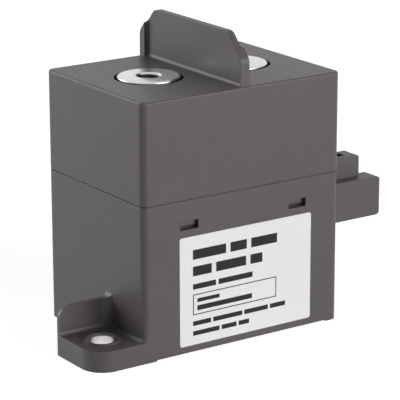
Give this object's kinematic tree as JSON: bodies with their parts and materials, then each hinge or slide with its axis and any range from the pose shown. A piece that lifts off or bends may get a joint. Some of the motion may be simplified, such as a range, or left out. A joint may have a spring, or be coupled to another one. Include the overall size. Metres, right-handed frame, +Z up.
{
  "type": "high voltage dc contactor",
  "caption": "Box-shaped sealed contactor with tapped top terminals either side of a barrier, diagonal mounting feet, an end coil socket and a sprung plunger that lifts the contact bridge.",
  "frame": {"origin": "middle of the housing's base, which is also the middle of the two foot holes", "axes": "+Z up out of the base, +X along the label face towards the coil socket, label face towards -Y"},
  "size_m": [0.0853, 0.0416, 0.073],
  "materials": {
    "housing_plastic": "dark grey moulded plastic, fine matt grain",
    "connector_plastic": "dark grey moulded plastic, fine matt grain",
    "label_film": "white printed film with plain bars",
    "bush_metal": "plated, turned",
    "pin_metal": "tin plated",
    "bare_copper": "bare copper",
    "terminal_metal": "silver plated, turned",
    "white_ceramic": "unglazed",
    "shield_ceramic": "pressed insulating board",
    "frame_steel": "pressed sheet",
    "spring_steel": "drawn wire",
    "core_iron": "zinc plated",
    "magnet_metal": "coated",
    "pad_rubber": "matt",
    "bobbin_plastic": "natural nylon",
    "winding_copper": "enamelled wire"
  },
  "bodies": {
    "housing": {"lower_housing": "housing_plastic", "top_cover": "housing_plastic", "coil_connector": "connector_plastic", "rating_label": "label_film", "foot_bush_left": "bush_metal", "foot_bush_right": "bush_metal", "coil_pin_upper": "pin_metal", "coil_pin_lower": "pin_metal", "coil_leads": "bare_copper", "terminal_left": "terminal_metal", "terminal_right": "terminal_metal", "ceramic_chamber": "white_ceramic", "skirt_frame": "frame_steel", "arc_shield": "shield_ceramic", "magnet_front": "magnet_metal", "magnet_rear": "magnet_metal", "magnet_clip": "frame_steel", "return_spring": "spring_steel", "fixed_core": "core_iron", "core_sleeve": "frame_steel", "buffer_pad": "pad_rubber", "yoke_plate": "core_iron", "yoke_frame": "core_iron", "coil_bobbin": "bobbin_plastic", "coil_winding": "winding_copper"},
    "plunger": {"moving_core": "core_iron", "plunger_shaft": "frame_steel", "retaining_clip": "spring_steel", "spring_seat_washer": "frame_steel", "contact_spring": "spring_steel"},
    "bridge": {"contact_bridge": "bare_copper"}
  },
  "joints": [
    {"name": "plunger_slide", "type": "slide", "parent": "housing", "child": "plunger", "axis": [0, 0, 1], "range_m": [0, 0.0023], "stiffness_N_per_m": 600, "springref_m": -0.004, "deforming": ["return_spring"]},
    {"name": "bridge_slide", "type": "slide", "parent": "housing", "child": "bridge", "axis": [0, 0, 1], "range_m": [0, 0.00164], "deforming": ["contact_spring"]}
  ],
  "couplings": [
    {"joint": "bridge_slide", "follows": "plunger_slide", "ratio": 0.713}
  ]
}
